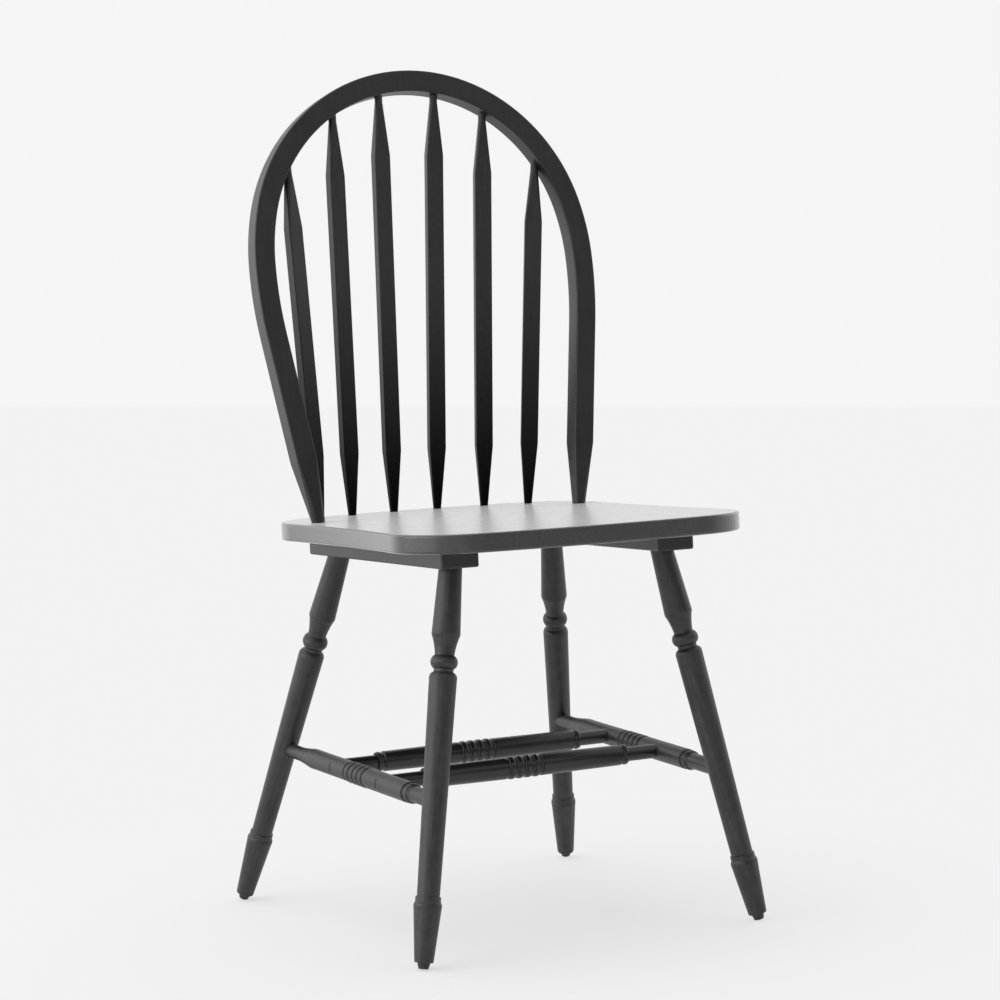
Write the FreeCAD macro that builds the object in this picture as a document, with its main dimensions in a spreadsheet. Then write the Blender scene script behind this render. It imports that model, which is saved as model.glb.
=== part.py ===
import FreeCAD, Part
import math
import os
import re

import Sketcher

# Wooden arrow-back side chair, millimetres, +Z up.
# The front faces -Y, the origin is on the floor under the middle of the whole chair.

V = FreeCAD.Vector

# Every driving size of the chair, by the alias of its cell in the sheet.
SIZES = {
    # Fits and cutting
    "FitClearance": 0.1,
    "CutOverrun": 2.0,
    # Seat board, seen from above; the corners are where the four edge arcs would meet
    "SeatTopHeight": 449.1,
    "SeatThickness": 20.0,
    "SeatFrontCornerHalfWidth": 208.6,
    "SeatFrontCornerY": -259.4,
    "SeatFrontBulge": 22.3,
    "SeatSideHollow": 13.9,
    "SeatRearCornerHalfWidth": 201.0,
    "SeatRearCornerY": 188.4,
    "SeatRearBulge": 34.4,
    "SeatFrontCornerRadius": 83.3,
    "SeatRearCornerRadius": 91.3,
    "SeatEdgeRadius": 2.6,
    # Two battens under the seat
    "BattenCentreX": 128.3,
    "BattenWidth": 43.3,
    "BattenFrontY": -199.8,
    "BattenLength": 369.0,
    "BattenThickness": 20.0,
    "BattenCornerRadius": 3.0,
    "BattenEdgeRadius": 2.2,
    # Screws that hold the battens
    "ScrewFirstY": -124.9,
    "ScrewPitch": 65.0,
    "ScrewShankDiameter": 4.0,
    "ScrewHeadDiameter": 8.0,
    "ScrewHeadHeight": 2.4,
    "ScrewLength": 31.0,
    "ScrewSinkDepth": 0.4,
    "ScrewRecessWidth": 1.4,
    "ScrewRecessLength": 4.6,
    "ScrewRecessDepth": 1.5,
    # Leg axes, at the underside of the battens and on the floor
    "FrontLegTopX": 126.3,
    "FrontLegTopY": -169.2,
    "FrontFootX": 200.9,
    "FrontFootY": -216.7,
    "RearLegTopX": 135.0,
    "RearLegTopY": 115.4,
    "RearFootX": 214.2,
    "RearFootY": 275.5,
    # Turned legs, stations measured down the axis from the underside of the battens
    "LegTenonLength": 13.0,
    "LegTopDiameter": 24.7,
    "LegVaseDiameter": 31.2,
    "LegVaseRound": 3.0,
    "LegVaseBulge": 0.5,
    "LegVaseTopLoss": 0.4,
    "LegVaseEndLoss": 1.5,
    "LegNeckDiameter": 21.0,
    "LegBeadDiameter": 29.0,
    "LegBodyDiameter": 29.6,
    "LegAnkleDiameter": 24.0,
    "LegLipDiameter": 27.0,
    "LegLipLength": 4.6,
    "LegCollarDiameter": 29.3,
    "LegCollarStep": 2.5,
    "LegCollarLength": 5.0,
    "LegCollarBulge": 0.3,
    "LegAnkleGap": 1.3,
    "LegFootDiameter": 20.3,
    "LegFootRound": 1.2,
    "LegConeHollow": 0.4,
    "LegShoulderBulge": 1.1,
    "FrontLegGroupStart": 71.5,
    "FrontLegGroupLength": 45.0,
    "FrontLegFootLength": 55.0,
    "RearLegGroupStart": 77.0,
    "RearLegGroupLength": 49.0,
    "RearLegFootLength": 69.0,
    # Nail-on glides
    "GlideHeight": 6.5,
    "GlideTopDiameter": 14.0,
    "GlideBottomDiameter": 11.0,
    "GlideRimRadius": 1.2,
    "GlideNailDiameter": 2.4,
    "GlideNailLength": 16.0,
    # Side stretchers, a little inside the leg axes
    "SideStretcherRearX": 176.2,
    "SideStretcherRearY": 203.8,
    "SideStretcherRearZ": 182.5,
    "SideStretcherFrontX": 167.2,
    "SideStretcherFrontY": -197.1,
    "SideStretcherFrontZ": 168.3,
    "StretcherTenonPast": 3.0,
    "StretcherThinDiameter": 16.2,
    "SideThinRearLength": 46.0,
    "SideSwellDiameter": 20.4,
    "SideSwellEnd": 70.0,
    "SideBodyDiameter": 22.7,
    "SideBodyStart": 92.0,
    "SideRingsStart": 183.2,
    "SideRingPitch": 11.8,
    "SideEndDiameter": 20.9,
    "SideEndGrooveStart": 334.5,
    "SideEndGroovePitch": 10.5,
    "SideFrontThinDiameter": 17.6,
    # Cross stretchers, between the side stretchers
    "RearCrossY": 56.6,
    "FrontCrossY": -66.4,
    "CrossRise": 0.9,
    "CrossTenonShort": 1.0,
    "CrossRingShift": -4.8,
    "CrossThinLength": 46.0,
    "CrossCollarLength": 4.6,
    "CrossCollarDiameter": 21.4,
    "CrossEndDiameter": 22.8,
    "CrossBodyDiameter": 24.2,
    "CrossRingPitch": 9.9,
    # Turned grooves of both stretchers
    "GrooveWidth": 4.0,
    "GrooveDepth": 1.7,
    "RingBulge": 0.6,
    # Staples through the side stretchers
    "StapleCrownWidth": 10.0,
    "StapleWireThickness": 1.4,
    "StapleWireWidth": 1.6,
    "StapleLength": 22.0,
    "StapleSinkDepth": 1.2,
    # Bow, drawn in its own tilted plane from the seat top upwards
    "BowFrontY": 86.5,
    "BowTiltAngle": 8.0,
    "BowWidth": 24.4,
    "BowThickness": 24.0,
    "BowEdgeRadius": 1.8,
    "BowBaseHalfWidth": 164.8,
    "BowLeanAngle": 8.23,
    "BowStraightLength": 217.0,
    "BowSideRadius": 482.0,
    "BowSideTurnAngle": 9.66,
    "BowShoulderRadius": 262.0,
    "BowShoulderTurnAngle": 13.7,
    "BowTaperLength": 72.0,
    "BowFootDiameter": 14.6,
    "BowTenonDiameter": 13.0,
    "BowTenonLength": 14.0,
    # Arrow spindles
    "SpindleWidth": 20.3,
    "SpindleThickness": 11.0,
    "SpindleEdgeRadius": 1.3,
    "SpindleNeckDiameter": 9.0,
    "SpindleLowerTaper": 72.0,
    "SpindleUpperTaper": 60.0,
    "SpindleTopNeck": 8.0,
    "SpindleSeatTenon": 13.0,
    "SpindleBowTenon": 11.0,
    "SpindleBackset": 3.0,
    "OuterSpindleSeatX": 133.5,
    "OuterSpindleSeatY": 170.4,
    "OuterSpindleTopX": 156.9,
    "OuterSpindleFaceAngle": 21.5,
    "MiddleSpindleSeatX": 85.1,
    "MiddleSpindleSeatY": 190.7,
    "MiddleSpindleTopX": 95.2,
    "MiddleSpindleFaceAngle": 11.0,
    "InnerSpindleSeatX": 28.0,
    "InnerSpindleSeatY": 200.2,
    "InnerSpindleTopX": 34.9,
    "InnerSpindleFaceAngle": 5.0,
}

SCREWS_PER_BATTEN = 4
SIDE_RING_COUNT = 5
CROSS_RING_COUNT = 5

# Places in the turned group of a leg, as shares of the group's length.
LEG_FIRST_NECK_SHARE = 0.43
LEG_BEAD_START_SHARE = 0.48
LEG_BEAD_END_SHARE = 0.80
LEG_SECOND_NECK_SHARE = 0.87

# Corner radius of a nearly round section, as a share of its width.
NEAR_ROUND_SHARE = 0.45

SIDES = {"left": -1, "right": 1}

document = FreeCAD.newDocument("WoodenChair")


def fill_sheet():
    """Write each size into a cell of the sheet and give the cell its alias."""
    sheet = document.addObject("Spreadsheet::Sheet", "Sizes")
    for row, (name, value) in enumerate(SIZES.items(), start=1):
        sheet.set(f"A{row}", name)
        sheet.set(f"B{row}", str(value))
        sheet.setAlias(f"B{row}", name)
    document.recompute()
    return sheet


sheet = fill_sheet()


def bound(text):
    """An expression on the sheet, from a text that uses the aliases by themselves."""
    return re.sub(r"\b([A-Z]\w+)", r"Sizes.\1", text)


def size(text):
    """The value of such a text."""
    return float(sheet.evalExpression(bound(text)))


# Sketches and features

def plane(body, role):
    for feature in body.Origin.OriginFeatures:
        if feature.Role == role:
            return feature
    raise ValueError("no plane " + role)


def new_body(name):
    return document.addObject("PartDesign::Body", name + "_body")


def new_sketch(body, name, role="XY_Plane", offset=None):
    sketch = body.newObject("Sketcher::SketchObject", name)
    sketch.AttachmentSupport = (plane(body, role), [""])
    sketch.MapMode = "FlatFace"
    if offset is not None:
        sketch.AttachmentOffset = offset
    return sketch


def hold(sketch, kind, geometry, point, text):
    """Tie one coordinate of a point to the sheet, measured from the sketch's origin."""
    value = size(text)
    if value == 0:
        axis = -2 if kind == "DistanceX" else -1
        sketch.addConstraint(Sketcher.Constraint("PointOnObject", geometry, point, axis))
        return
    if value > 0:
        constraint = Sketcher.Constraint(kind, -1, 1, geometry, point, value)
        formula = text
    else:
        constraint = Sketcher.Constraint(kind, geometry, point, -1, 1, -value)
        formula = f"-({text})"
    index = sketch.addConstraint(constraint)
    sketch.setExpression(f"Constraints[{index}]", bound(formula))


def arc_through(start, end, bulge):
    """An arc from start to end that bulges to the right of the way between them."""
    chord = end - start
    side = V(chord.y, -chord.x, 0).normalize()
    middle = (start + end) * 0.5 + side * bulge
    return Part.Arc(start, middle, end)


def outline(sketch, corners):
    """A closed outline of lines and arcs: each corner is x, y and the bulge of the side after it."""
    count = len(corners)
    places = [V(size(x), size(y), 0) for x, y, bulge in corners]
    for index, (x, y, bulge) in enumerate(corners):
        start = places[index]
        end = places[(index + 1) % count]
        if bulge is None:
            sketch.addGeometry(Part.LineSegment(start, end))
        else:
            sketch.addGeometry(arc_through(start, end, size(bulge)))
    turns = [arc_turns(*edge_ends(places, index), corners[index][2]) for index in range(count)]
    for index in range(count):
        following = (index + 1) % count
        finish = 1 if turns[index] else 2
        begin = 2 if turns[following] else 1
        sketch.addConstraint(Sketcher.Constraint("Coincident", index, finish, following, begin))
    for index, (x, y, bulge) in enumerate(corners):
        begin = 2 if turns[index] else 1
        hold(sketch, "DistanceX", index, begin, x)
        hold(sketch, "DistanceY", index, begin, y)
    for index, (x, y, bulge) in enumerate(corners):
        if bulge is not None:
            next_x, next_y, next_bulge = corners[(index + 1) % count]
            chord_squared = f"((({next_x}) - ({x}))^2 + (({next_y}) - ({y}))^2)"
            rise = f"abs({bulge})"
            radius = f"{chord_squared} / (8 * {rise}) + {rise} / 2"
            tie = sketch.addConstraint(Sketcher.Constraint("Radius", index, size(radius)))
            sketch.setExpression(f"Constraints[{tie}]", bound(radius))


def edge_ends(places, index):
    return places[index], places[(index + 1) % len(places)]


def arc_turns(start, end, bulge):
    """True where a side is an arc that the sketch keeps from its end back to its start."""
    if bulge is None:
        return False
    return size(bulge) < 0


def rounded_rectangle(width, depth, radius):
    """Corners of a rectangle about the origin, with rounded corners, anticlockwise."""
    flat_x = f"({width}) / 2 - ({radius})"
    flat_y = f"({depth}) / 2 - ({radius})"
    edge_x = f"({width}) / 2"
    edge_y = f"({depth}) / 2"
    rise = f"({radius}) * (1 - sqrt(2) / 2)"
    return [
        (flat_x, f"-({edge_y})", rise),
        (edge_x, f"-({flat_y})", None),
        (edge_x, flat_y, rise),
        (flat_x, edge_y, None),
        (f"-({flat_x})", edge_y, rise),
        (f"-({edge_x})", flat_y, None),
        (f"-({edge_x})", f"-({flat_y})", rise),
        (f"-({flat_x})", f"-({edge_y})", None),
    ]


def turned(name, stations):
    """A turned body about its Z axis: each station is a radius, a height and the bulge after it."""
    body = new_body(name)
    sketch = new_sketch(body, name + "_profile", "XZ_Plane")
    outline(sketch, stations)
    document.recompute()
    revolution = body.newObject("PartDesign::Revolution", name + "_turned")
    revolution.Profile = sketch
    revolution.ReferenceAxis = (sketch, ["V_Axis"])
    revolution.Angle = 360
    return body


def padded(name, corners, thickness):
    """A flat body on its XY plane."""
    body = new_body(name)
    sketch = new_sketch(body, name + "_outline")
    outline(sketch, corners)
    document.recompute()
    pad = body.newObject("PartDesign::Pad", name + "_pad")
    pad.Profile = sketch
    pad.setExpression("Length", bound(thickness))
    document.recompute()
    return body, pad


def edges_where(shape, wanted):
    return [f"Edge{number}" for number, edge in enumerate(shape.Edges, start=1) if wanted(edge)]


def rounded(body, feature, name, wanted, radius):
    """Round the edges of a body's last feature that are wanted."""
    fillet = body.newObject("PartDesign::Fillet", name)
    fillet.Base = (feature, edges_where(feature.Shape, wanted))
    fillet.setExpression("Radius", bound(radius))
    document.recompute()
    return fillet


def stands_up(edge):
    box = edge.BoundBox
    return box.ZLength > box.XLength + box.YLength


def bore(name, diameter, length, placement):
    """A cylinder that cuts a round socket, from the placement's origin along its Z."""
    tool = document.addObject("Part::Cylinder", name)
    tool.setExpression("Radius", bound(f"({diameter}) / 2"))
    tool.setExpression("Height", bound(length))
    tool.Placement = placement
    return tool


def slot(name, width, depth, length, placement):
    """A box that cuts a slot, centred on the placement's Z and reaching along it."""
    tool = document.addObject("Part::Box", name)
    tool.setExpression("Length", bound(width))
    tool.setExpression("Width", bound(depth))
    tool.setExpression("Height", bound(length))
    middle = V(-size(width) / 2, -size(depth) / 2, 0)
    tool.Placement = placement.multiply(FreeCAD.Placement(middle, FreeCAD.Rotation()))
    return tool


def finish(name, body, placement, tools=()):
    """Cut the tools out of a body and set the piece in its place in the chair."""
    piece = body
    if tools:
        local = placement.inverse()
        for tool in tools:
            tool.Placement = local.multiply(tool.Placement)
        piece = document.addObject("Part::Cut", name)
        piece.Base = body
        piece.Tool = joined(name, tools)
    piece.Label = name
    piece.Placement = placement
    pieces[name] = piece
    return piece


def joined(name, tools):
    if len(tools) == 1:
        return tools[0]
    union = document.addObject("Part::MultiFuse", name + "_cuts")
    union.Shapes = tools
    return union


def along(start, end):
    """A placement at start whose Z points to end."""
    return FreeCAD.Placement(start, FreeCAD.Rotation(V(0, 0, 1), end - start))


def facing(start, end, front):
    """The same, with Y turned to the front as far as the way to the end allows."""
    axis = (end - start).normalize()
    thin = (front - axis * front.dot(axis)).normalize()
    wide = thin.cross(axis)
    matrix = FreeCAD.Matrix(
        wide.x, thin.x, axis.x, start.x,
        wide.y, thin.y, axis.y, start.y,
        wide.z, thin.z, axis.z, start.z,
        0, 0, 0, 1,
    )
    return FreeCAD.Placement(matrix)


def on(placement, distance):
    """The point at a distance along a placement's Z."""
    return placement.multVec(V(0, 0, distance))


def moved(placement, distance):
    return FreeCAD.Placement(on(placement, distance), placement.Rotation)


pieces = {}
EMPTY = FreeCAD.Placement()
FIT = "2 * FitClearance"
BATTEN_UNDERSIDE = "SeatTopHeight - SeatThickness - BattenThickness"


# Axes of the legs, stretchers, bow and spindles

def leg_axis(end, side):
    """From the batten's underside to the floor."""
    sign = SIDES[side]
    top = V(sign * size(f"{end}LegTopX"), size(f"{end}LegTopY"), size(BATTEN_UNDERSIDE))
    foot = V(sign * size(f"{end}FootX"), size(f"{end}FootY"), 0)
    return along(top, foot), (foot - top).Length


def side_stretcher_axis(side):
    sign = SIDES[side]
    ends = []
    for end in ("Rear", "Front"):
        name = "SideStretcher" + end
        ends.append(V(sign * size(name + "X"), size(name + "Y"), size(name + "Z")))
    return along(*ends), (ends[1] - ends[0]).Length


def cross_stretcher_end(end, side):
    """Where a cross stretcher's axis ends, just over the axis of a side stretcher."""
    axis, length = side_stretcher_axis(side)
    start = axis.Base
    way = on(axis, length) - start
    share = (size(f"{end}CrossY") - start.y) / way.y
    return start + way * share + V(0, 0, size("CrossRise"))


def cross_stretcher_axis(end):
    left = cross_stretcher_end(end, "left")
    right = cross_stretcher_end(end, "right")
    return along(left, right), (right - left).Length


def bow_placement():
    """The bow's plane: X across, Y up the plane, Z to the front."""
    tilt = size("BowTiltAngle")
    middle_y = size("BowFrontY") + size("BowThickness") / 2 / math.cos(math.radians(tilt))
    rotation = FreeCAD.Rotation(V(1, 0, 0), 90 - tilt)
    return FreeCAD.Placement(V(0, middle_y, size("SeatTopHeight")), rotation)


def heading(angle):
    """The way up the right side of the bow, leaning outwards by an angle."""
    lean = math.radians(angle)
    return V(math.sin(lean), math.cos(lean), 0)


def bow_turn(start, angle, turn, radius):
    """Centre and end of an arc of the bow that turns inwards."""
    way = heading(angle)
    centre = start + V(-way.y, way.x, 0) * radius
    last = heading(angle - turn)
    return centre, centre + V(last.y, -last.x, 0) * radius


def bow_route():
    """The points and arcs of the bow's right side, from the seat to the crown."""
    lean = size("BowLeanAngle")
    foot = V(size("BowBaseHalfWidth"), 0, 0)
    straight_end = foot + heading(lean) * size("BowStraightLength")
    side_turn = size("BowSideTurnAngle")
    side_radius = size("BowSideRadius")
    side_centre, side_end = bow_turn(straight_end, lean, side_turn, side_radius)
    shoulder_turn = size("BowShoulderTurnAngle")
    shoulder_radius = size("BowShoulderRadius")
    shoulder_lean = lean - side_turn
    shoulder_centre, shoulder_end = bow_turn(side_end, shoulder_lean, shoulder_turn, shoulder_radius)
    crown_lean = shoulder_lean - shoulder_turn
    crown_radius = shoulder_end.x / math.cos(math.radians(crown_lean))
    crown_centre, unused_end = bow_turn(shoulder_end, crown_lean, 0, crown_radius)
    return {
        "foot": foot,
        "straight_end": straight_end,
        "arcs": [
            (side_centre, straight_end, side_end),
            (shoulder_centre, side_end, shoulder_end),
            (crown_centre, shoulder_end, crown_centre + V(0, crown_radius, 0)),
        ],
        "crown_centre": crown_centre,
        "crown_radius": crown_radius,
    }


def bow_foot_axis(side):
    """From the bow's foot at the seat up its straight part, in the chair's frame."""
    sign = SIDES[side]
    route = bow_route()
    ends = [route["foot"], route["straight_end"]]
    lifted = [bow_placement().multVec(V(sign * end.x, end.y, 0)) for end in ends]
    return along(*lifted)


def spindle_ends(place, side):
    """Where a spindle's axis leaves the seat and meets the bow's inner face, behind its middle."""
    sign = SIDES[side]
    seat_x = size(f"{place}SpindleSeatX")
    bottom = V(sign * seat_x, size(f"{place}SpindleSeatY"), size("SeatTopHeight"))
    top_x = size(f"{place}SpindleTopX")
    route = bow_route()
    inner_radius = route["crown_radius"] - size("BowWidth") / 2
    rise = route["crown_centre"].y + math.sqrt(inner_radius ** 2 - top_x ** 2)
    return bottom, bow_placement().multVec(V(sign * top_x, rise, -size("SpindleBackset")))


def spindle_placement(place, side):
    sign = SIDES[side]
    bottom, top = spindle_ends(place, side)
    turn = math.radians(size(f"{place}SpindleFaceAngle"))
    return facing(bottom, top, V(-sign * math.sin(turn), -math.cos(turn), 0))


SPINDLE_PLACES = ("Outer", "Middle", "Inner")
SPINDLES = [(place, side) for side in SIDES for place in SPINDLE_PLACES]


# Seat

def screw_places(side):
    """The screws' axes, from the underside of a batten upwards."""
    places = []
    for number in range(SCREWS_PER_BATTEN):
        y = size("ScrewFirstY") + number * size("ScrewPitch")
        start = V(SIDES[side] * size("BattenCentreX"), y, size(BATTEN_UNDERSIDE))
        places.append(FreeCAD.Placement(start, FreeCAD.Rotation()))
    return places


def seat_sockets():
    tools = []
    overrun = size("CutOverrun")
    for place, side in SPINDLES:
        upwards = spindle_placement(place, side)
        depth = size("SpindleSeatTenon") + size("FitClearance")
        name = f"seat_socket_{side}_{place.lower()}"
        length = "SpindleSeatTenon + FitClearance + CutOverrun"
        diameter = "SpindleNeckDiameter + " + FIT
        tools.append(bore(name, diameter, length, moved(upwards, -depth)))
    for side in SIDES:
        upwards = bow_foot_axis(side)
        depth = size("BowTenonLength") + size("FitClearance")
        length = "BowTenonLength + FitClearance + CutOverrun"
        diameter = "BowTenonDiameter + " + FIT
        tools.append(bore(f"seat_socket_{side}_bow", diameter, length, moved(upwards, -depth)))
        for number, place in enumerate(screw_places(side)):
            start = moved(place, size("BattenThickness") - overrun)
            length = "ScrewSinkDepth + ScrewLength - BattenThickness + FitClearance + CutOverrun"
            name = f"seat_pilot_{side}_{number}"
            tools.append(bore(name, "ScrewShankDiameter + " + FIT, length, start))
    return tools


def make_seat():
    corners = [
        ("-SeatFrontCornerHalfWidth", "SeatFrontCornerY", "SeatFrontBulge"),
        ("SeatFrontCornerHalfWidth", "SeatFrontCornerY", "-SeatSideHollow"),
        ("SeatRearCornerHalfWidth", "SeatRearCornerY", "SeatRearBulge"),
        ("-SeatRearCornerHalfWidth", "SeatRearCornerY", "-SeatSideHollow"),
    ]
    body, pad = padded("seat", corners, "SeatThickness")
    upright = edges_where(pad.Shape, stands_up)
    front = [name for name in upright if pad.Shape.getElement(name).BoundBox.YMax < 0]
    rear = [name for name in upright if name not in front]
    last = pad
    for place, names in (("Front", front), ("Rear", rear)):
        wanted_ends = [pad.Shape.getElement(name).CenterOfMass for name in names]

        def wanted(edge, places=wanted_ends):
            return any((edge.CenterOfMass - place).Length < size("FitClearance") for place in places)

        radius = f"Seat{place}CornerRadius"
        last = rounded(body, last, f"seat_corners_{place.lower()}", wanted, radius)
    rounded(body, last, "seat_rim", lambda edge: not stands_up(edge), "SeatEdgeRadius")
    height = size("SeatTopHeight - SeatThickness")
    placement = FreeCAD.Placement(V(0, 0, height), FreeCAD.Rotation())
    finish("seat", body, placement, seat_sockets())


# Battens

def make_batten(side):
    name = f"batten_{side}"
    corners = rounded_rectangle("BattenWidth", "BattenLength", "BattenCornerRadius")
    body, pad = padded(name, corners, "BattenThickness")

    def lower_edge(edge):
        return edge.BoundBox.ZMax < size("FitClearance")

    rounded(body, pad, name + "_edges", lower_edge, "BattenEdgeRadius")
    tools = []
    for end in ("Front", "Rear"):
        downwards, length = leg_axis(end, side)
        start = moved(downwards, -size("LegTenonLength + FitClearance"))
        length = "LegTenonLength + FitClearance + LegTopDiameter / 2"
        socket = f"{name}_socket_{end.lower()}"
        tools.append(bore(socket, "LegTopDiameter + " + FIT, length, start))
    for number, place in enumerate(screw_places(side)):
        start = moved(place, -size("CutOverrun"))
        hole = f"{name}_screw_{number}"
        length = "BattenThickness + 2 * CutOverrun"
        tools.append(bore(hole, "ScrewShankDiameter + " + FIT, length, start))
        tools.append(head_sink(hole + "_head", place))
        length = "ScrewSinkDepth + CutOverrun"
        tools.append(bore(hole + "_sink", "ScrewHeadDiameter + " + FIT, length, start))
    middle_y = size("BattenFrontY + BattenLength / 2")
    middle = V(SIDES[side] * size("BattenCentreX"), middle_y, size(BATTEN_UNDERSIDE))
    finish(name, body, FreeCAD.Placement(middle, FreeCAD.Rotation()), tools)


def head_sink(name, place):
    tool = document.addObject("Part::Cone", name)
    tool.setExpression("Radius1", bound("ScrewHeadDiameter / 2 + FitClearance"))
    tool.setExpression("Radius2", bound("ScrewShankDiameter / 2 + FitClearance"))
    tool.setExpression("Height", bound("ScrewHeadHeight"))
    tool.Placement = moved(place, size("ScrewSinkDepth"))
    return tool


def make_screws():
    """All the batten screws, as one group of separate solids."""
    stations = [
        ("0", "ScrewRecessDepth", None),
        ("ScrewRecessWidth / 2", "ScrewRecessDepth", None),
        ("ScrewRecessWidth / 2", "0", None),
        ("ScrewHeadDiameter / 2", "0", None),
        ("ScrewShankDiameter / 2", "ScrewHeadHeight", None),
        ("ScrewShankDiameter / 2", "ScrewLength - ScrewShankDiameter", None),
        ("0", "ScrewLength", None),
    ]
    body = turned("batten_screw", stations)
    document.recompute()
    base = FreeCAD.Placement(V(0, 0, size("ScrewSinkDepth")), FreeCAD.Rotation())
    crosses = []
    for number, turn in enumerate((0, 90)):
        arm = FreeCAD.Placement(V(0, 0, -size("CutOverrun")), FreeCAD.Rotation(V(0, 0, 1), turn))
        depth = "ScrewRecessDepth + CutOverrun"
        name = f"screw_recess_{number}"
        crosses.append(slot(name, "ScrewRecessLength", "ScrewRecessWidth", depth, arm))
    screw = document.addObject("Part::Cut", "one_screw")
    screw.Base = body
    screw.Tool = joined("one_screw", crosses)
    document.recompute()
    copies = []
    for side in SIDES:
        for place in screw_places(side):
            copy = screw.Shape.copy()
            copy.Placement = place.multiply(base)
            copies.append(copy)
    group = document.addObject("Part::Feature", "batten_screws")
    group.Shape = Part.makeCompound(copies)
    pieces["batten_screws"] = group


# Legs and glides

def glide_centre_height(tilt):
    """Height of the middle of a glide's end plane, with the rim's lowest point on the floor."""
    rim = size("GlideRimRadius")
    reach = size("GlideBottomDiameter") / 2 - rim
    return rim - rim * math.cos(tilt) + reach * math.sin(tilt)


def leg_length(end, side):
    """From the batten's underside to the end of the wood, along the axis."""
    axis, length = leg_axis(end, side)
    height = size(BATTEN_UNDERSIDE)
    tilt = math.acos(height / length)
    return (height - glide_centre_height(tilt)) / math.cos(tilt) - size("GlideHeight")


def leg_stations(end):
    """The leg's profile; heights run down from the tenon's top."""
    wood = repr(leg_length(end, "right"))
    tenon = "LegTenonLength"
    group = f"{tenon} + {end}LegGroupStart"
    length = f"{end}LegGroupLength"
    foot = f"{tenon} + LegWoodLength"
    collar_end = f"{foot} - {end}LegFootLength"
    collar_start = f"{collar_end} - LegCollarLength"
    lip_end = f"{collar_start} - LegCollarStep"
    lip_start = f"{lip_end} - LegLipLength"
    ankle = f"{lip_start} - LegAnkleGap"
    stations = [
        ("0", "0", None),
        ("LegTopDiameter / 2", "0", None),
        ("LegTopDiameter / 2", tenon, None),
        ("LegVaseDiameter / 2 - LegVaseTopLoss", f"{group} - LegVaseRound", "LegVaseBulge"),
        ("LegVaseDiameter / 2 - LegVaseEndLoss", f"{group} + LegVaseRound", "-LegConeHollow"),
        ("LegNeckDiameter / 2", f"{group} + {LEG_FIRST_NECK_SHARE} * {length}", None),
        ("LegNeckDiameter / 2", f"{group} + {LEG_BEAD_START_SHARE} * {length}", "BEAD"),
        ("LegNeckDiameter / 2", f"{group} + {LEG_BEAD_END_SHARE} * {length}", None),
        ("LegNeckDiameter / 2", f"{group} + {LEG_SECOND_NECK_SHARE} * {length}", "LegShoulderBulge"),
        ("LegBodyDiameter / 2", f"{group} + {length}", None),
        ("LegAnkleDiameter / 2", ankle, None),
        ("LegLipDiameter / 2", lip_start, None),
        ("LegLipDiameter / 2", lip_end, None),
        ("LegCollarDiameter / 2", collar_start, "LegCollarBulge"),
        ("LegCollarDiameter / 2", collar_end, None),
        ("LegFootDiameter / 2", f"{foot} - LegFootRound", "LegFootRound * (1 - sqrt(2) / 2)"),
        ("LegFootDiameter / 2 - LegFootRound", foot, None),
        ("GlideNailDiameter / 2 + FitClearance", foot, None),
        ("GlideNailDiameter / 2 + FitClearance", f"{foot} - GlideNailLength - FitClearance", None),
        ("0", f"{foot} - GlideNailLength - FitClearance", None),
    ]
    bead = "(LegBeadDiameter - LegNeckDiameter) / 2"
    text = []
    for radius, height, bulge in stations:
        height = height.replace("LegWoodLength", wood)
        text.append((radius, height, bead if bulge == "BEAD" else bulge))
    return text


def make_leg(end, side):
    name = f"leg_{end.lower()}_{side}"
    body = turned(name, leg_stations(end))
    axis, length = leg_axis(end, side)
    stretcher, stretcher_length = side_stretcher_axis(side)
    if end == "Rear":
        inwards = stretcher
        tenon = "StretcherThinDiameter"
    else:
        inwards = along(on(stretcher, stretcher_length), stretcher.Base)
        tenon = "SideFrontThinDiameter"
    start = moved(inwards, -size("StretcherTenonPast + FitClearance"))
    length = "StretcherTenonPast + FitClearance + LegBodyDiameter"
    tools = [bore(name + "_socket", f"{tenon} + {FIT}", length, start)]
    finish(name, body, moved(axis, -size("LegTenonLength")), tools)


def make_glide(end, side):
    name = f"glide_{end.lower()}_{side}"
    stations = [
        ("0", "-GlideNailLength", None),
        ("GlideNailDiameter / 2", "GlideNailDiameter - GlideNailLength", None),
        ("GlideNailDiameter / 2", "0", None),
        ("GlideTopDiameter / 2", "0", None),
        ("GlideBottomDiameter / 2", "GlideHeight - GlideRimRadius", "GlideRimRadius * (1 - sqrt(2) / 2)"),
        ("GlideBottomDiameter / 2 - GlideRimRadius", "GlideHeight", None),
        ("0", "GlideHeight", None),
    ]
    body = turned(name, stations)
    axis, length = leg_axis(end, side)
    finish(name, body, moved(axis, leg_length(end, side)))


# Stretchers

def ring_group(radius, start, pitch, count):
    """Stations of a row of turned grooves with round rings between them."""
    stations = []
    for number in range(count):
        groove = f"{start} + {number} * {pitch}"
        stations.append((radius, groove, "-GrooveDepth"))
        last = number == count - 1
        stations.append((radius, f"{groove} + GrooveWidth", None if last else "RingBulge"))
    return stations


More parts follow.
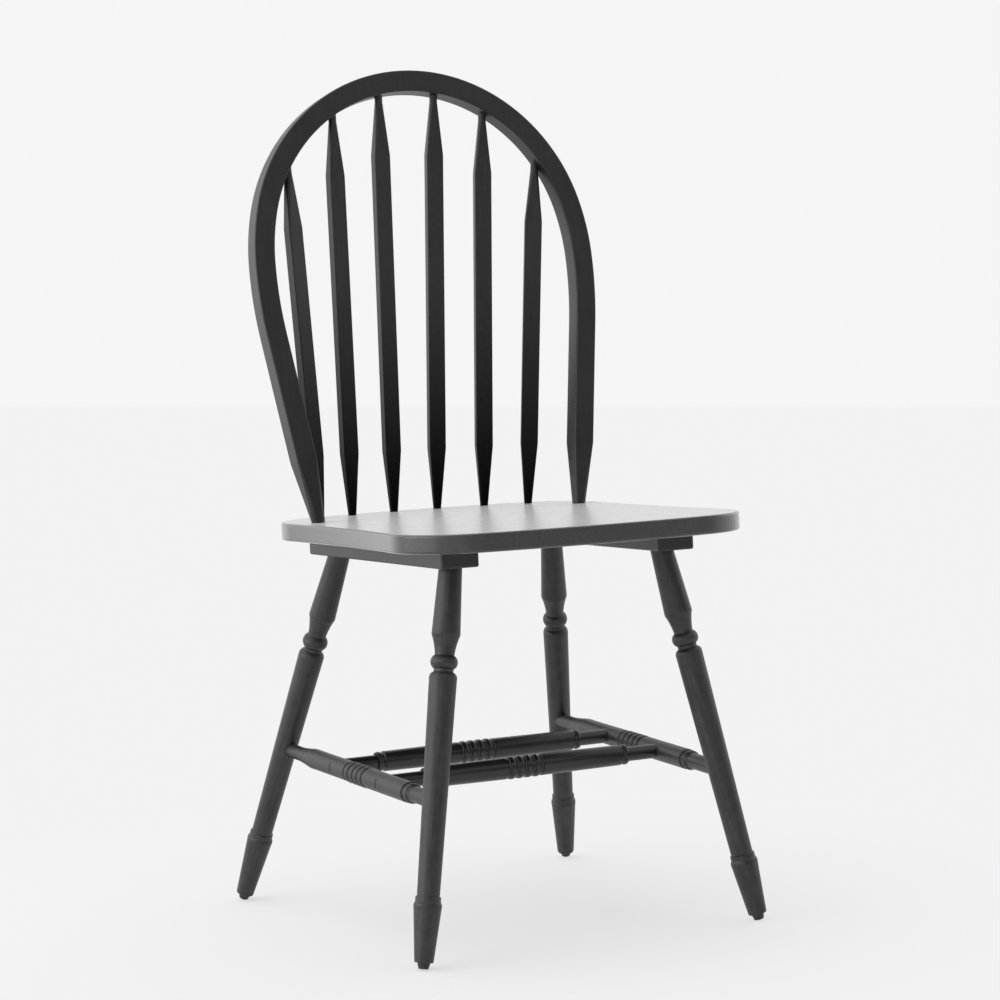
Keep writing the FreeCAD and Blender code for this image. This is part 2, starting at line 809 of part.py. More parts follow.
def side_stations():
    """The side stretcher's profile from its rear end."""
    start = "StretcherTenonPast"
    axis, length = side_stretcher_axis("right")
    front = f"{start} + {length!r}"
    thin = "StretcherThinDiameter / 2"
    front_thin = "SideFrontThinDiameter / 2"
    body = "SideBodyDiameter / 2"
    end = "SideEndDiameter / 2"
    first_groove = f"{start} + SideEndGrooveStart"
    last_groove = f"{first_groove} + SideEndGroovePitch"
    return [
        ("0", "0", None),
        (thin, "0", None),
        (thin, f"{start} + SideThinRearLength", None),
        ("SideSwellDiameter / 2", f"{start} + SideSwellEnd", "RingBulge"),
        (body, f"{start} + SideBodyStart", None),
        *ring_group(body, f"{start} + SideRingsStart", "SideRingPitch", SIDE_RING_COUNT),
        (body, first_groove, "-GrooveDepth"),
        (end, f"{first_groove} + GrooveWidth", "RingBulge"),
        (end, last_groove, "-GrooveDepth / 2"),
        (front_thin, f"{last_groove} + GrooveWidth", None),
        (front_thin, f"{front} + StretcherTenonPast", None),
        ("0", f"{front} + StretcherTenonPast", None),
    ]


def staple_places(side):
    """A staple at each cross stretcher, from the outer face of the side stretcher inwards."""
    places = []
    for end in ("Rear", "Front"):
        axis, length = cross_stretcher_axis(end)
        inner = axis.Base if side == "left" else on(axis, length)
        other = on(axis, length) if side == "left" else axis.Base
        inwards = facing(inner, other, V(0, 0, 1))
        places.append(moved(inwards, -size("SideBodyDiameter / 2")))
    return places


def staple_cuts(name, place, with_crown):
    """Slots for a staple's legs, and for its crown in the piece that carries it."""
    wire = "StapleWireWidth + " + FIT
    thick = "StapleWireThickness + " + FIT
    length = "StapleLength + FitClearance"
    tools = []
    for number, sign in enumerate((-1, 1)):
        offset = sign * size("StapleCrownWidth - StapleWireThickness") / 2
        spot = place.multVec(V(0, offset, size("StapleSinkDepth")))
        leg = FreeCAD.Placement(spot, place.Rotation)
        tools.append(slot(f"{name}_leg_{number}", wire, thick, length, leg))
    if with_crown:
        start = moved(place, -size("CutOverrun"))
        crown = "StapleSinkDepth + StapleWireThickness + FitClearance + CutOverrun"
        tools.append(slot(name + "_crown", wire, "StapleCrownWidth + " + FIT, crown, start))
    return tools


def make_side_stretcher(side):
    name = f"side_stretcher_{side}"
    body = turned(name, side_stations())
    axis, length = side_stretcher_axis(side)
    tools = []
    for number, place in enumerate(staple_places(side)):
        start = moved(place, size("SideBodyDiameter / 2 + CrossTenonShort - FitClearance"))
        cut = f"{name}_socket_{number}"
        tools.append(bore(cut, "StretcherThinDiameter + " + FIT, "SideBodyDiameter", start))
        tools.extend(staple_cuts(f"{name}_staple_{number}", place, True))
    finish(name, body, moved(axis, -size("StretcherTenonPast")), tools)


def cross_stations(end):
    """The cross stretcher's profile: alike from both ends, but for the rings off the middle."""
    axis, span = cross_stretcher_axis(end)
    length = f"({span!r} - 2 * CrossTenonShort)"
    thin = "StretcherThinDiameter / 2"
    collar = "CrossCollarDiameter / 2"
    shoulder = "CrossEndDiameter / 2"
    body = "CrossBodyDiameter / 2"
    middle = f"{length} / 2 + CrossRingShift"
    rings = f"{middle} - {CROSS_RING_COUNT - 1} * CrossRingPitch / 2 - GrooveWidth / 2"
    first = "CrossThinLength - CrossTenonShort"
    step = f"{first} + CrossCollarLength"
    last = f"{length} - (CrossThinLength - CrossTenonShort)"
    back = f"{last} - CrossCollarLength"
    return [
        ("0", "0", None),
        (thin, "0", None),
        (thin, first, None),
        (collar, first, "RingBulge"),
        (collar, step, "-GrooveDepth"),
        (shoulder, f"{step} + GrooveWidth", None),
        *ring_group(body, rings, "CrossRingPitch", CROSS_RING_COUNT),
        (shoulder, f"{back} - GrooveWidth", "-GrooveDepth"),
        (collar, back, "RingBulge"),
        (collar, last, None),
        (thin, last, None),
        (thin, length, None),
        ("0", length, None),
    ]


def make_cross_stretcher(end):
    name = f"cross_stretcher_{end.lower()}"
    body = turned(name, cross_stations(end))
    axis, length = cross_stretcher_axis(end)
    tools = []
    for side in SIDES:
        place = staple_places(side)[0 if end == "Rear" else 1]
        tools.extend(staple_cuts(f"{name}_staple_{side}", place, False))
    finish(name, body, moved(axis, size("CrossTenonShort")), tools)


def make_staples():
    """The four staples, as one group of separate solids."""
    half = "StapleCrownWidth / 2"
    inner = f"{half} - StapleWireThickness"
    corners = [
        (f"-({half})", "0", None),
        (half, "0", None),
        (half, "StapleLength", None),
        (inner, "StapleLength - StapleWireThickness", None),
        (inner, "StapleWireThickness", None),
        (f"-({inner})", "StapleWireThickness", None),
        (f"-({inner})", "StapleLength - StapleWireThickness", None),
        (f"-({half})", "StapleLength", None),
    ]
    body, pad = padded("one_staple", corners, "StapleWireWidth")
    upright = FreeCAD.Rotation(V(0, 1, 0), V(0, 0, 1), V(1, 0, 0), "ZXY")
    copies = []
    for side in SIDES:
        for place in staple_places(side):
            start = FreeCAD.Placement(V(-size("StapleWireWidth") / 2, 0, size("StapleSinkDepth")), upright)
            copy = body.Shape.copy()
            copy.Placement = place.multiply(start)
            copies.append(copy)
    group = document.addObject("Part::Feature", "stretcher_staples")
    group.Shape = Part.makeCompound(copies)
    pieces["stretcher_staples"] = group


# Bow

def section(body, name, placement, width, depth, radius):
    sketch = new_sketch(body, name, "XY_Plane", placement)
    outline(sketch, rounded_rectangle(width, depth, radius))
    return sketch


def across(point, way):
    """A placement in the bow's plane at a point, its Z along the way."""
    wide = V(way.y, -way.x, 0)
    normal = way.cross(wide)
    rotation = FreeCAD.Rotation(wide, normal, way, "ZXY")
    return FreeCAD.Placement(point, rotation)


def disc(body, name, placement, diameter):
    sketch = new_sketch(body, name, "XY_Plane", placement)
    index = sketch.addGeometry(Part.Circle(V(0, 0, 0), V(0, 0, 1), size(diameter) / 2))
    sketch.addConstraint(Sketcher.Constraint("Coincident", index, 3, -1, 1))
    tie = sketch.addConstraint(Sketcher.Constraint("Diameter", index, size(diameter)))
    sketch.setExpression(f"Constraints[{tie}]", bound(diameter))
    return sketch


def peg(body, name, placement, diameter, length):
    """A round pad from a placement along its Z."""
    sketch = disc(body, name + "_circle", placement, diameter)
    document.recompute()
    pad = body.newObject("PartDesign::Pad", name)
    pad.Profile = sketch
    pad.setExpression("Length", bound(length))
    return pad


def lofted(body, name, sections):
    """A straight-sided loft through sketches."""
    document.recompute()
    loft = body.newObject("PartDesign::AdditiveLoft", name)
    loft.Profile = sections[0]
    loft.Sections = sections[1:]
    loft.Ruled = True
    document.recompute()
    return loft


def bow_spine(body, route):
    """The bow's middle line from the crown down to the top of the right foot's taper."""
    sketch = new_sketch(body, "bow_spine")
    names = ["BowSideRadius", "BowShoulderRadius"]
    taper_top = route["foot"] + heading(size("BowLeanAngle")) * size("BowTaperLength")
    straight = sketch.addGeometry(Part.LineSegment(taper_top, route["straight_end"]))
    joint = (straight, 2)
    for number, (centre, start, end) in enumerate(route["arcs"]):
        radius = (start - centre).Length
        first = math.atan2(start.y - centre.y, start.x - centre.x)
        last = math.atan2(end.y - centre.y, end.x - centre.x)
        circle = Part.Circle(centre, V(0, 0, 1), radius)
        arc = sketch.addGeometry(Part.ArcOfCircle(circle, first, last))
        sketch.addConstraint(Sketcher.Constraint("Coincident", *joint, arc, 1))
        if number < len(names):
            tie = sketch.addConstraint(Sketcher.Constraint("Radius", arc, radius))
            sketch.setExpression(f"Constraints[{tie}]", bound(names[number]))
        joint = (arc, 2)
    return sketch


def bow_sockets():
    tools = []
    for place, side in SPINDLES:
        bottom, top = spindle_ends(place, side)
        start = moved(along(top, top + top - bottom), -size("SpindleTopNeck"))
        length = "SpindleTopNeck + SpindleBowTenon + FitClearance"
        name = f"bow_socket_{side}_{place.lower()}"
        tools.append(bore(name, "SpindleNeckDiameter + " + FIT, length, start))
    return tools


def make_bow():
    body = new_body("bow")
    route = bow_route()
    spine = bow_spine(body, route)
    crown = route["crown_centre"] + V(0, route["crown_radius"], 0)
    whole = ("BowWidth", "BowThickness", "BowEdgeRadius")
    profile = section(body, "bow_crown", across(crown, V(1, 0, 0)), *whole)
    document.recompute()
    pipe = body.newObject("PartDesign::AdditivePipe", "bow_bend")
    pipe.Profile = profile
    pipe.Spine = spine
    document.recompute()
    way = heading(size("BowLeanAngle"))
    foot = across(route["foot"], way)
    narrow = ("BowFootDiameter", "BowFootDiameter", f"BowFootDiameter * {NEAR_ROUND_SHARE}")
    sections = [
        section(body, "bow_taper_top", moved(foot, size("BowTaperLength")), *whole),
        section(body, "bow_taper_foot", foot, *narrow),
    ]
    taper = lofted(body, "bow_taper", sections)
    tenon_end = moved(foot, -size("BowTenonLength"))
    tenon = peg(body, "bow_tenon", tenon_end, "BowTenonDiameter", "BowTenonLength")
    document.recompute()
    mirrored = body.newObject("PartDesign::Mirrored", "bow_other_side")
    mirrored.Originals = [pipe, taper, tenon]
    mirrored.MirrorPlane = (plane(body, "YZ_Plane"), [""])
    body.Tip = mirrored
    finish("bow", body, bow_placement(), bow_sockets())


# Spindles

def make_spindle(place, side):
    name = f"spindle_{side}_{place.lower()}"
    body = new_body(name)
    bottom, top = spindle_ends(place, side)
    length = (top - bottom).Length
    neck_radius = f"SpindleNeckDiameter * {NEAR_ROUND_SHARE}"
    round_end = ("SpindleNeckDiameter", "SpindleNeckDiameter", neck_radius)
    slat = ("SpindleWidth", "SpindleThickness", "SpindleEdgeRadius")
    neck_top = length - size("SpindleTopNeck")
    heights = [
        (0, round_end),
        (size("SpindleLowerTaper"), slat),
        (neck_top - size("SpindleUpperTaper"), slat),
        (neck_top, round_end),
    ]
    sections = []
    for number, (height, sizes) in enumerate(heights):
        sections.append(section(body, f"{name}_section_{number}", moved(EMPTY, height), *sizes))
    lofted(body, name + "_slat", sections)
    foot = moved(EMPTY, -size("SpindleSeatTenon"))
    peg(body, name + "_foot", foot, "SpindleNeckDiameter", "SpindleSeatTenon")
    neck = moved(EMPTY, neck_top)
    peg(body, name + "_neck", neck, "SpindleNeckDiameter", "SpindleTopNeck + SpindleBowTenon")
    finish(name, body, spindle_placement(place, side))


def build():
    make_seat()
    for side in SIDES:
        make_batten(side)
        for end in ("Front", "Rear"):
            make_leg(end, side)
            make_glide(end, side)
        make_side_stretcher(side)
    for end in ("Front", "Rear"):
        make_cross_stretcher(end)
    make_bow()
    for place, side in SPINDLES:
        make_spindle(place, side)
    make_screws()
    make_staples()
    document.recompute()


def check():
    """Stop where the document holds a failed object or a piece without a sound solid."""
    for item in document.Objects:
        if "Invalid" in item.State or "Error" in item.State:
            raise RuntimeError(f"{item.Name} is {item.State}")
    for name, piece in pieces.items():
        if piece.Shape.isNull() or not piece.Shape.isValid() or not piece.Shape.Solids:
            raise RuntimeError(f"{name} has no sound solid")


def export():
    os.makedirs("parts", exist_ok=True)
    whole = FreeCAD.BoundBox()
    for name, piece in pieces.items():
        piece.Shape.exportStep(f"parts/{name}.step")
        whole.add(piece.Shape.BoundBox)
        print(f"{name}: {len(piece.Shape.Solids)} solids, {piece.Shape.Volume:.0f} mm3")
    print("whole chair:", whole)


build()
check()
export()
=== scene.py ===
import math

import bpy
from mathutils import Matrix, Vector


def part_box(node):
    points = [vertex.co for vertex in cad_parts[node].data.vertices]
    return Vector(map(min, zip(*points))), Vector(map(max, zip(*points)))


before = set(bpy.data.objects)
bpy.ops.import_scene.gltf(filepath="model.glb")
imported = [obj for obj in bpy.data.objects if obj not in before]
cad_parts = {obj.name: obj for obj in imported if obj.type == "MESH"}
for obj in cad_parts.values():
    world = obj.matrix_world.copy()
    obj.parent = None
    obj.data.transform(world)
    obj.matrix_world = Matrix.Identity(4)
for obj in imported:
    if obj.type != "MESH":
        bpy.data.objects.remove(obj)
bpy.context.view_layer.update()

# A black painted bow-back side chair on a pale floor. Metres, +Z up, the front faces -Y.

X_WAY = Vector((1, 0, 0))
Y_WAY = Vector((0, 1, 0))
Z_WAY = Vector((0, 0, 1))

# Camera: the place and turn that the photograph was taken from
CAMERA_PLACE = Vector((-1.37615, -2.91900, 0.63684))
CAMERA_YAW = math.radians(-25.490)
CAMERA_PITCH = math.radians(-3.0333)
CAMERA_ROLL = math.radians(-2.7485)
IMAGE_WIDTH_PX = 1000
FOCAL_LENGTH_PX = 2886.24
SENSOR_WIDTH_MM = 36.0

# Paint: "worn" is where the mottle thins it, and the mottle is a mix of clouds and grain
FLAT_PAINT = {
    "colour": (0.0095, 0.0095, 0.0097, 1),
    "worn_colour": (0.0175, 0.0173, 0.017, 1),
    "worn_range": (0.38, 0.66),
    "roughness": 0.38,
    "roughness_spread": 0.04,
    "specular": 0.5,
    "grain_depth": 0.00006,
    "cloud_scale": 14.0,
}
SEAT_PAINT = dict(FLAT_PAINT, roughness=0.27, grain_depth=0.000008)
TURNED_PAINT = {
    "colour": (0.0105, 0.0105, 0.0107, 1),
    "worn_colour": (0.036, 0.0356, 0.035, 1),
    "worn_range": (0.36, 0.68),
    "roughness": 0.43,
    "roughness_spread": 0.12,
    "specular": 0.5,
    "grain_depth": 0.00016,
    "cloud_scale": 85.0,
}
# The cross stretchers' paint: darker colours than the turned paint, painted shade for the seat
# above them; smoother and glossier too
CROSS_SHADED_PAINT = dict(
    TURNED_PAINT,
    colour=(0.003, 0.003, 0.0031, 1),
    worn_colour=(0.014, 0.0138, 0.0135, 1),
    roughness=0.31,
    specular=0.6,
)
MOTTLE_GRAIN_SHARE = 0.6
CLOUD_DETAIL = 3.0

# Grain of the wood and spray of the paint; the grain is drawn out along its way
GRAIN_STRETCH = (260.0, 260.0, 14.0)
GRAIN_NOISE = {"scale": 1.0, "detail": 4.0, "roughness": 0.6}
SPRAY_NOISE = {"scale": 900.0, "detail": 2.0}
SPRAY_DEPTH = 0.000003

# The seat's clear coat and sheen
SEAT_FINISH = {
    "Coat Weight": 0.8,
    "Coat Roughness": 0.29,
    "Sheen Weight": 0.65,
    "Sheen Roughness": 0.33,
}

# A spindle's painted shade: the share of its colour and gloss kept at a low and at a high place,
# so it turns darker and duller towards the seat that shades it
SPINDLE_PAINTED_SHADE_HEIGHTS = (0.46, 0.72)
SPINDLE_PAINTED_SHADE_SHARES = (0.15, 1.0)

# Small parts: a speckle carries two colours, two roughnesses and a fine relief
SPECKLE_RANGE = (0.3, 0.8)
SCREW_STEEL = {
    "noise": {"scale": 400.0, "detail": 4.0},
    "colours": ((0.12, 0.12, 0.125, 1), (0.3, 0.3, 0.31, 1)),
    "roughnesses": (0.3, 0.55),
    "depth": 0.00003,
    "metallic": 1.0,
    "specular": 0.5,
}
STAPLE_WIRE = {
    "noise": {"scale": 600.0, "detail": 3.0},
    "colours": ((0.002, 0.002, 0.002, 1), (0.006, 0.006, 0.006, 1)),
    "roughnesses": (0.6, 0.85),
    "depth": 0.00004,
    "metallic": 0.0,
    "specular": 0.15,
}
GLIDE_PLASTIC = {
    "noise": {"scale": 700.0, "detail": 3.0},
    "colours": ((0.012, 0.012, 0.012, 1), (0.03, 0.029, 0.028, 1)),
    "roughnesses": (0.42, 0.62),
    "depth": 0.00006,
    "metallic": 0.0,
    "specular": 0.5,
}

# Floor: its own shade near the chair, and more and more of an even glow further away
FLOOR_OUTLINE = [(-60.0, -30.0), (9.79, -30.0), (15.46, 120.0), (-60.0, 120.0)]
FLOOR_COLOURS = ((0.88, 0.88, 0.88, 1), (0.89, 0.89, 0.89, 1))
FLOOR_CLOUD_NOISE = {"scale": 0.7, "detail": 2.0}
FLOOR_CLOUD_RANGE = (0.3, 0.7)
FLOOR_ROUGHNESS = 0.9
FLOOR_SPECULAR = 0.1
SHADE_CENTRE = (-0.15, 0.08, 0)
SHADE_REACH = (0.3, 0.85)
FLOOR_GLOW = (0.863, 0.893)
FLOOR_GLOW_SHARE = (0.6, 1.0)

# Room, backdrop, and a card outside the picture for the chair to mirror
ROOM_COLOUR = (1, 1, 1, 1)
ROOM_LIGHT = 0.82
BACKDROP_COLOUR = (0.915, 0.915, 0.915, 1)
CARD_LINE = [(-3.0, -6.5), (3.0, -6.0), (5.4, -3.6)]
CARD_HEIGHT = 4.0
CARD_COLOUR = (0.45, 0.45, 0.45, 1)

# Soft lights: name, place, the point it faces, width and height in metres, watts
LIGHTS = [
    ("key", (-4.3, 0.4, 1.7), (0, 0, 0.5), (4.9, 3.0), 90),
    ("top", (-0.8, 1.0, 3.4), (0, 0, 0.3), (2.4, 2.4), 22),
    ("rear", (-1.9, 3.6, 1.3), (0, 0, 0.5), (2.4, 2.6), 10),
    ("side", (4.2, 0.3, 1.6), (0, 0, 0.4), (3.0, 2.4), 12),
]


# Node helpers

def new_material(name):
    """A material with one Principled shader on its surface."""
    material = bpy.data.materials.new(name)
    material.use_nodes = True
    nodes = material.node_tree.nodes
    nodes.clear()
    output = nodes.new("ShaderNodeOutputMaterial")
    shader = nodes.new("ShaderNodeBsdfPrincipled")
    material.node_tree.links.new(shader.outputs["BSDF"], output.inputs["Surface"])
    return material, shader


def add(material, kind, **settings):
    node = material.node_tree.nodes.new(kind)
    for name, value in settings.items():
        setattr(node, name, value)
    return node


def link(material, source, target):
    material.node_tree.links.new(source, target)


def object_place(material):
    """The point being shaded, in the chair's frame."""
    return add(material, "ShaderNodeTexCoord").outputs["Object"]


def noise(material, vector, scale, detail, roughness=0.5):
    node = add(material, "ShaderNodeTexNoise")
    node.inputs["Scale"].default_value = scale
    node.inputs["Detail"].default_value = detail
    node.inputs["Roughness"].default_value = roughness
    link(material, vector, node.inputs["Vector"])
    return node.outputs["Fac"]


def ramp(material, value, ends, colours):
    """Colour from one to the other as a value goes from the low end to the high one."""
    node = add(material, "ShaderNodeValToRGB")
    for element, end, colour in zip(node.color_ramp.elements, ends, colours):
        element.position = end
        element.color = colour
    link(material, value, node.inputs["Fac"])
    return node.outputs["Color"]


def spread(material, value, results, ends=(0.0, 1.0)):
    """A value between two ends, turned into one between two results."""
    node = add(material, "ShaderNodeMapRange")
    node.inputs["From Min"].default_value, node.inputs["From Max"].default_value = ends
    node.inputs["To Min"].default_value, node.inputs["To Max"].default_value = results
    link(material, value, node.inputs["Value"])
    return node.outputs["Result"]


def multiply(material, first, second):
    node = add(material, "ShaderNodeMath", operation="MULTIPLY")
    link(material, first, node.inputs[0])
    link(material, second, node.inputs[1])
    return node.outputs["Value"]


def bump(material, height, depth, normal=None):
    """Relief of a depth in metres, over other relief where there is any."""
    node = add(material, "ShaderNodeBump")
    node.inputs["Distance"].default_value = depth
    link(material, height, node.inputs["Height"])
    if normal is not None:
        link(material, normal, node.inputs["Normal"])
    return node.outputs["Normal"]


# Materials

def painted_wood(name, way, paint):
    """Black satin paint over wood whose grain runs along a way in the chair's frame."""
    material, shader = new_material(name)
    place = object_place(material)
    turn = add(material, "ShaderNodeMapping", vector_type="POINT")
    rotation = way.normalized().rotation_difference(Z_WAY)
    turn.inputs["Rotation"].default_value = rotation.to_euler()
    link(material, place, turn.inputs["Vector"])
    stretch = add(material, "ShaderNodeMapping")
    stretch.inputs["Scale"].default_value = GRAIN_STRETCH
    link(material, turn.outputs["Vector"], stretch.inputs["Vector"])
    grain = noise(material, stretch.outputs["Vector"], **GRAIN_NOISE)
    spray = noise(material, place, **SPRAY_NOISE)
    cloud = noise(material, place, paint["cloud_scale"], CLOUD_DETAIL)
    mottle = add(material, "ShaderNodeMix", data_type="FLOAT")
    mottle.inputs["Factor"].default_value = MOTTLE_GRAIN_SHARE
    link(material, cloud, mottle.inputs["A"])
    link(material, grain, mottle.inputs["B"])
    worn = mottle.outputs["Result"]
    colours = (paint["colour"], paint["worn_colour"])
    link(material, ramp(material, worn, paint["worn_range"], colours), shader.inputs["Base Color"])
    smooth = paint["roughness"] - paint["roughness_spread"]
    rough = paint["roughness"] + paint["roughness_spread"]
    link(material, spread(material, worn, (smooth, rough)), shader.inputs["Roughness"])
    shader.inputs["Specular IOR Level"].default_value = paint["specular"]
    fine = bump(material, spray, SPRAY_DEPTH)
    link(material, bump(material, grain, paint["grain_depth"], fine), shader.inputs["Normal"])
    return material, shader


def seat_paint(node):
    """The seat's paint: smoother, with a clear coat that whitens at a low angle."""
    material, shader = painted_wood("paint_" + node, grain_way(node), SEAT_PAINT)
    for name, value in SEAT_FINISH.items():
        shader.inputs[name].default_value = value
    return material


def spindle_paint_with_painted_shade(node):
    """A spindle's paint with painted shade: darker and duller towards the seat, standing in for
    the seat's shade.
    """
    material, shader = painted_wood("paint_" + node, grain_way(node), FLAT_PAINT)
    # Painted shade: colour and gloss fall off towards the seat, for the seat's shade on the lower
    # spindle
    parts = add(material, "ShaderNodeSeparateXYZ")
    link(material, object_place(material), parts.inputs["Vector"])
    painted_shade = spread(material, parts.outputs["Z"], SPINDLE_PAINTED_SHADE_SHARES, SPINDLE_PAINTED_SHADE_HEIGHTS)
    painted_shade_colour = add(material, "ShaderNodeVectorMath", operation="SCALE")
    link(material, shader.inputs["Base Color"].links[0].from_socket, painted_shade_colour.inputs[0])
    link(material, painted_shade, painted_shade_colour.inputs["Scale"])
    link(material, painted_shade_colour.outputs["Vector"], shader.inputs["Base Color"])
    painted_shade_gloss = (0.0, FLAT_PAINT["specular"])
    link(material, spread(material, painted_shade, painted_shade_gloss), shader.inputs["Specular IOR Level"])
    return material


def plain_paint(node, paint):
    return painted_wood("paint_" + node, grain_way(node), paint)[0]


def speckled(name, look):
    """The material of a small part."""
    material, shader = new_material(name)
    speckle = noise(material, object_place(material), **look["noise"])
    colour = ramp(material, speckle, SPECKLE_RANGE, look["colours"])
    link(material, colour, shader.inputs["Base Color"])
    link(material, spread(material, speckle, look["roughnesses"]), shader.inputs["Roughness"])
    link(material, bump(material, speckle, look["depth"]), shader.inputs["Normal"])
    shader.inputs["Metallic"].default_value = look["metallic"]
    shader.inputs["Specular IOR Level"].default_value = look["specular"]
    return material


def grain_way(node):
    """The way that the grain of a CAD node runs: along it, or along the slope of its box."""
    low, high = (Vector(corner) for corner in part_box(node))
    reach = high - low
    outwards = 1 if low.x + high.x > 0 else -1
    if node.startswith("leg_front"):
        return Vector((-outwards * reach.x, reach.y, reach.z))
    if node.startswith("leg_rear"):
        return Vector((-outwards * reach.x, -reach.y, reach.z))
    if node.startswith("spindle"):
        return Vector((outwards * reach.x, reach.y, reach.z))
    if node == "bow":
        return Vector((0, reach.y, reach.z))
    if node.startswith("cross"):
        return X_WAY
    return Y_WAY


def dress_frame():
    """Give every CAD node its material."""
    steel = speckled("screw_steel", SCREW_STEEL)
    wire = speckled("staple_wire", STAPLE_WIRE)
    plastic = speckled("glide_plastic", GLIDE_PLASTIC)
    for name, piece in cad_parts.items():
        if name.startswith("glide"):
            material = plastic
        elif name == "batten_screws":
            material = steel
        elif name == "stretcher_staples":
            material = wire
        elif name == "seat":
            material = seat_paint(name)
        elif name.startswith("spindle"):
            material = spindle_paint_with_painted_shade(name)
        elif name.startswith("cross"):
            # The cross stretchers' darker colours are painted shade
            material = plain_paint(name, CROSS_SHADED_PAINT)
        elif name.startswith(("leg", "side")):
            material = plain_paint(name, TURNED_PAINT)
        else:
            material = plain_paint(name, FLAT_PAINT)
        piece.data.materials.clear()
        piece.data.materials.append(material)


# Studio

def seen_by_eye(tree):
    """1 on the rays that carry the picture: straight, mirrored or through glass."""
    path = tree.nodes.new("ShaderNodeLightPath")
    value = path.outputs["Is Camera Ray"]
    for name in ("Is Glossy Ray", "Is Transmission Ray"):
        either = tree.nodes.new("ShaderNodeMath")
        either.operation = "MAXIMUM"
        tree.links.new(value, either.inputs[0])
        tree.links.new(path.outputs[name], either.inputs[1])
        value = either.outputs["Value"]
    return value


def floor_material():
    """A pale floor that keeps a soft shadow under its own even brightness."""
    material, shader = new_material("studio_floor")
    place = object_place(material)
    cloud = noise(material, place, **FLOOR_CLOUD_NOISE)
    colour = ramp(material, cloud, FLOOR_CLOUD_RANGE, FLOOR_COLOURS)
    link(material, colour, shader.inputs["Base Color"])
    shader.inputs["Roughness"].default_value = FLOOR_ROUGHNESS
    shader.inputs["Specular IOR Level"].default_value = FLOOR_SPECULAR
    reach = add(material, "ShaderNodeVectorMath", operation="DISTANCE")
    link(material, place, reach.inputs[0])
    reach.inputs[1].default_value = SHADE_CENTRE
    away = spread(material, reach.outputs["Value"], (0.0, 1.0), SHADE_REACH)
    glow = add(material, "ShaderNodeEmission")
    link(material, spread(material, away, FLOOR_GLOW), glow.inputs["Strength"])
    share = multiply(
        material,
        seen_by_eye(material.node_tree),
        spread(material, away, FLOOR_GLOW_SHARE),
    )
    mix = add(material, "ShaderNodeMixShader")
    link(material, share, mix.inputs["Fac"])
    link(material, shader.outputs["BSDF"], mix.inputs[1])
    link(material, glow.outputs["Emission"], mix.inputs[2])
    output = next(node for node in material.node_tree.nodes if node.type == "OUTPUT_MATERIAL")
    link(material, mix.outputs["Shader"], output.inputs["Surface"])
    return material


def make_floor():
    """The floor, out to the far line that the photograph shows."""
    mesh = bpy.data.meshes.new("floor")
    corners = [(x, y, 0) for x, y in FLOOR_OUTLINE]
    mesh.from_pydata(corners, [], [tuple(range(len(corners)))])
    floor = bpy.data.objects.new("floor", mesh)
    bpy.context.scene.collection.objects.link(floor)
    floor.data.materials.append(floor_material())


def make_world():
    """A pale backdrop, and the even light of the room."""
    world = bpy.data.worlds.new("studio")
    bpy.context.scene.world = world
    world.use_nodes = True
    nodes = world.node_tree.nodes
    links = world.node_tree.links
    nodes.clear()
    output = nodes.new("ShaderNodeOutputWorld")
    room = nodes.new("ShaderNodeBackground")
    room.inputs["Color"].default_value = ROOM_COLOUR
    room.inputs["Strength"].default_value = ROOM_LIGHT
    backdrop = nodes.new("ShaderNodeBackground")
    backdrop.inputs["Color"].default_value = BACKDROP_COLOUR
    mix = nodes.new("ShaderNodeMixShader")
    links.new(seen_by_eye(world.node_tree), mix.inputs["Fac"])
    links.new(room.outputs["Background"], mix.inputs[1])
    links.new(backdrop.outputs["Background"], mix.inputs[2])
    links.new(mix.outputs["Shader"], output.inputs["Surface"])


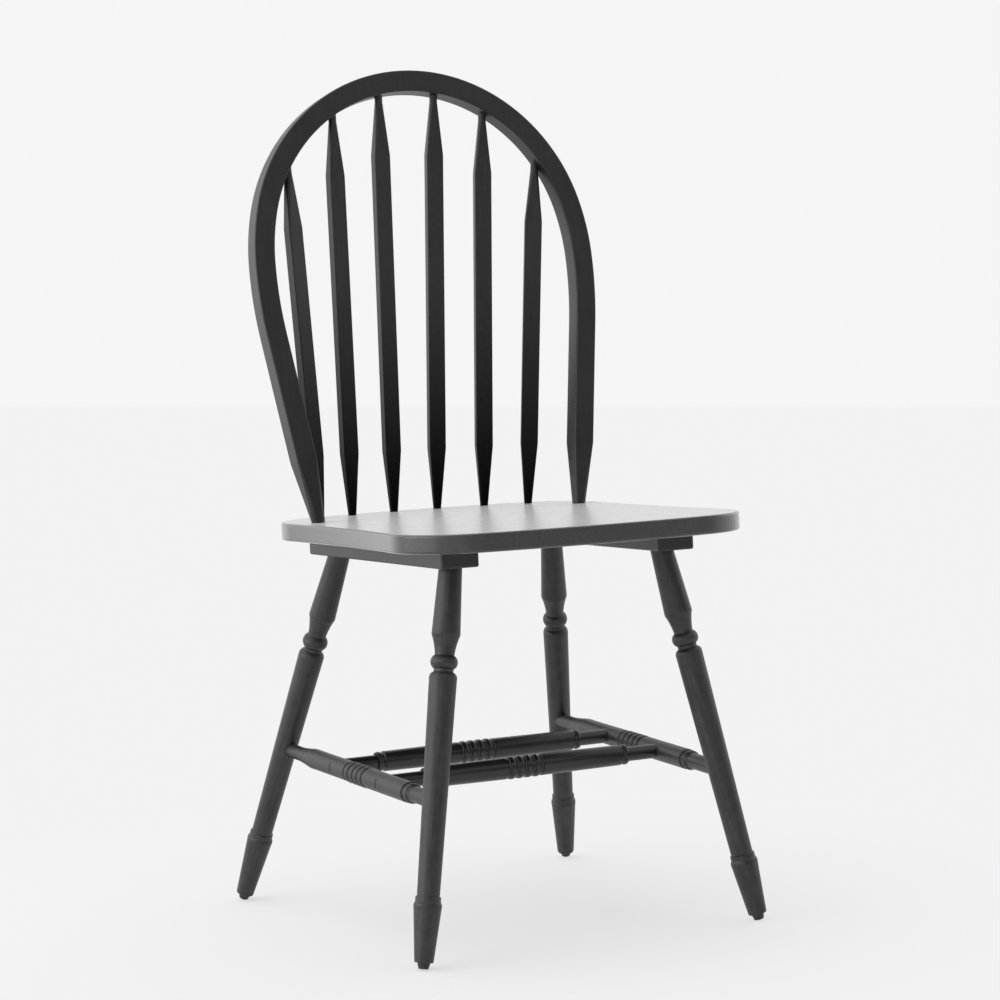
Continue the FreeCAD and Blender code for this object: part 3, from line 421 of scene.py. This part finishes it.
def area_light(name, place, target, size, power):
    """A soft rectangular light that the camera doesn't see."""
    data = bpy.data.lights.new(name, "AREA")
    data.shape = "RECTANGLE"
    data.size, data.size_y = size
    data.energy = power
    light = bpy.data.objects.new(name, data)
    light.location = place
    way = Vector(target) - Vector(place)
    light.rotation_euler = way.to_track_quat("-Z", "Y").to_euler()
    light.visible_camera = False
    bpy.context.scene.collection.objects.link(light)


def make_card():
    """An upright card that the camera doesn't see, but the chair's gloss does."""
    mesh = bpy.data.meshes.new("front_card")
    corners = [(x, y, z) for x, y in CARD_LINE for z in (0.0, CARD_HEIGHT)]
    faces = [(i, i + 1, i + 3, i + 2) for i in range(0, len(corners) - 2, 2)]
    mesh.from_pydata(corners, [], faces)
    card = bpy.data.objects.new("front_card", mesh)
    card.visible_camera = False
    bpy.context.scene.collection.objects.link(card)
    material, shader = new_material("front_card")
    shader.inputs["Base Color"].default_value = CARD_COLOUR
    shader.inputs["Roughness"].default_value = 1.0
    shader.inputs["Specular IOR Level"].default_value = 0.0
    card.data.materials.append(material)


def make_camera():
    """The camera, from its place and its three angles."""
    back = Vector((
        math.sin(CAMERA_YAW) * math.cos(CAMERA_PITCH),
        -math.cos(CAMERA_YAW) * math.cos(CAMERA_PITCH),
        -math.sin(CAMERA_PITCH),
    ))
    level_right = (-back).cross(Z_WAY).normalized()
    level_up = level_right.cross(-back)
    right = math.cos(CAMERA_ROLL) * level_right + math.sin(CAMERA_ROLL) * level_up
    up = -math.sin(CAMERA_ROLL) * level_right + math.cos(CAMERA_ROLL) * level_up
    data = bpy.data.cameras.new("camera")
    data.sensor_width = SENSOR_WIDTH_MM
    data.lens = FOCAL_LENGTH_PX * SENSOR_WIDTH_MM / IMAGE_WIDTH_PX
    camera = bpy.data.objects.new("camera", data)
    turn = Matrix((right, up, back)).transposed().to_4x4()
    camera.matrix_world = Matrix.Translation(CAMERA_PLACE) @ turn
    bpy.context.scene.collection.objects.link(camera)
    bpy.context.scene.camera = camera


dress_frame()
make_floor()
make_world()
for light in LIGHTS:
    area_light(*light)
make_card()
make_camera()
bpy.context.scene.view_settings.view_transform = "Standard"
